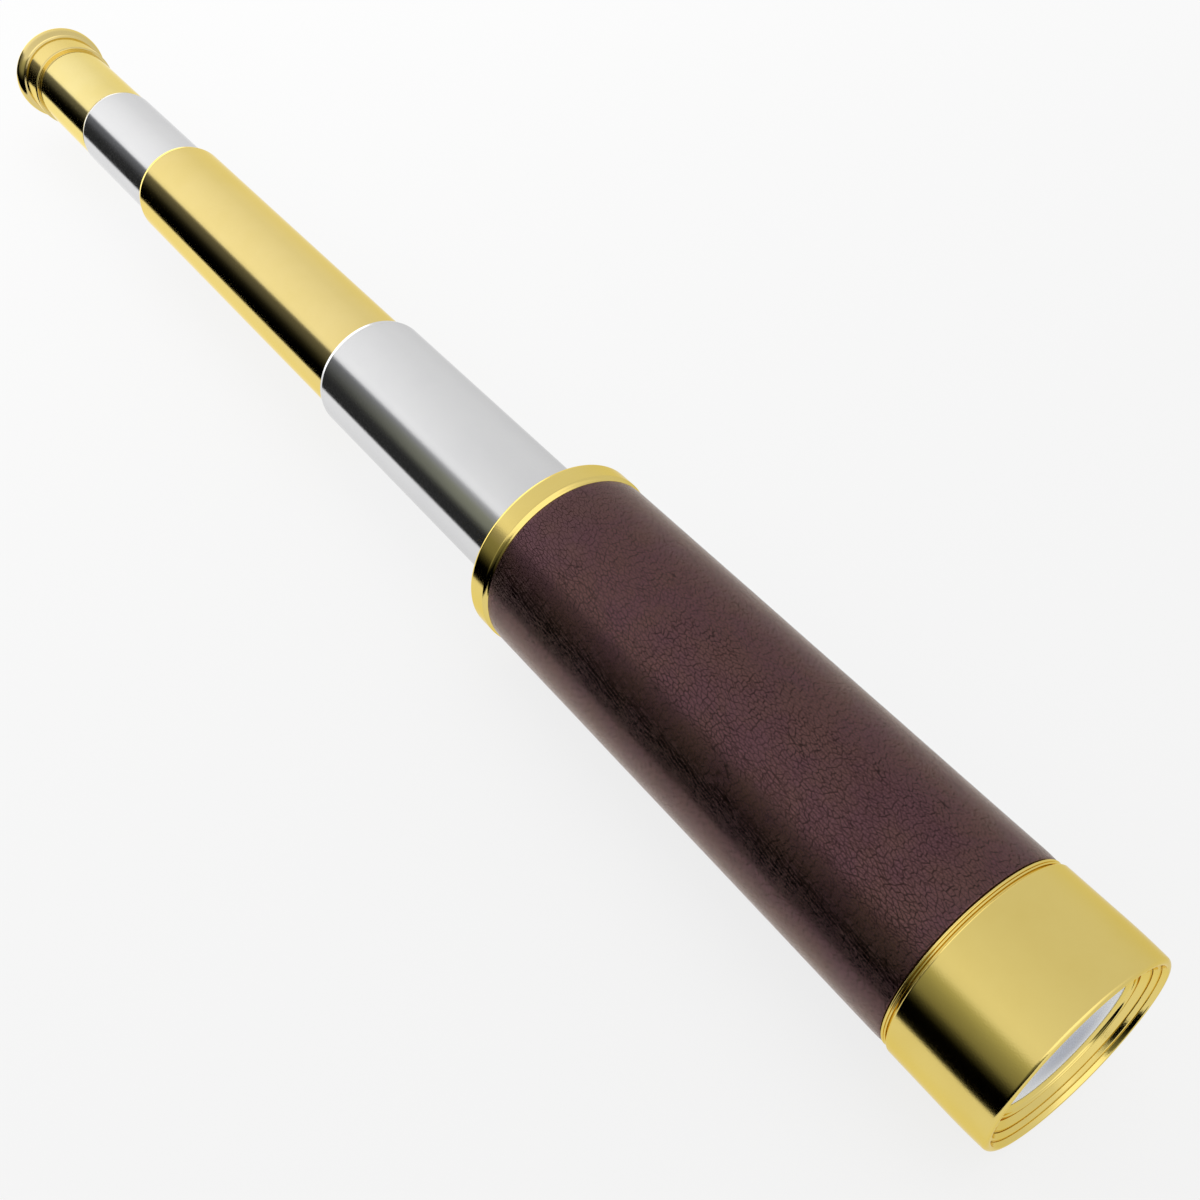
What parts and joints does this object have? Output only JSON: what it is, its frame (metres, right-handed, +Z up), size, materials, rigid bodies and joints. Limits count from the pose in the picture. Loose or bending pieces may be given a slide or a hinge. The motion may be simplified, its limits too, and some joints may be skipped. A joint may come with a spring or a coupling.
{
  "type": "brass telescope",
  "caption": "Hand-held draw telescope with a leather-covered barrel, nested sliding brass and silver-coloured draw tubes and a flanged eyecup, lying on its side.",
  "frame": {"origin": "on the surface that the telescope lies on, below the middle of its overall length with the draws out as modelled", "axes": "+X along the optical axis towards the object glass, +Z up"},
  "size_m": [0.4786, 0.05, 0.05],
  "materials": {
    "polished_brass": "polished, clear-lacquered",
    "inner_brass": "turned, unpolished",
    "nickel_plate": "bright nickel plate, polished",
    "blackened_brass": "chemically blackened, matt",
    "leather": "dark brown grained hide, satin",
    "felt": "thin dense felt",
    "optical_glass": "polished clear glass"
  },
  "bodies": {
    "barrel": {"objective_hood": "polished_brass", "objective_cell": "polished_brass", "objective_retaining_ring": "polished_brass", "crown_lens": "optical_glass", "lens_spacer_ring": "blackened_brass", "flint_lens": "optical_glass", "objective_baffle": "blackened_brass", "barrel_tube": "inner_brass", "leather_cover": "leather", "front_bead_ring": "polished_brass", "rear_ring": "polished_brass", "barrel_guide_collar": "polished_brass", "barrel_felt_liner": "felt"},
    "draw_1": {"draw_1_tube": "nickel_plate", "draw_1_mouth_collar": "nickel_plate", "draw_1_felt_liner": "felt", "draw_1_stop_ring": "blackened_brass"},
    "draw_2": {"draw_2_tube": "polished_brass", "draw_2_mouth_collar": "polished_brass", "draw_2_felt_liner": "felt", "draw_2_stop_ring": "blackened_brass", "draw_2_baffle": "blackened_brass"},
    "draw_3": {"draw_3_tube": "nickel_plate", "draw_3_stop_ring": "blackened_brass", "erector_tube": "inner_brass", "erector_front_lens": "optical_glass", "erector_rear_lens": "optical_glass", "erector_front_retaining_ring": "inner_brass", "erector_rear_retaining_ring": "inner_brass", "erector_stop": "blackened_brass", "eyepiece_tube": "polished_brass", "field_lens": "optical_glass", "field_lens_retaining_ring": "inner_brass", "field_stop": "blackened_brass", "eye_lens_cell": "inner_brass", "eye_lens": "optical_glass", "eye_lens_retaining_ring": "inner_brass", "eyecup": "polished_brass"}
  },
  "joints": [
    {"name": "draw_1_slide", "type": "slide", "parent": "barrel", "child": "draw_1", "axis": [-1, 0, 0], "range_m": [-0.086, 0.034]},
    {"name": "draw_2_slide", "type": "slide", "parent": "draw_1", "child": "draw_2", "axis": [-1, 0, 0], "range_m": [-0.119, 0]},
    {"name": "draw_3_slide", "type": "slide", "parent": "draw_2", "child": "draw_3", "axis": [-1, 0, 0], "range_m": [-0.083, 0.032]}
  ]
}
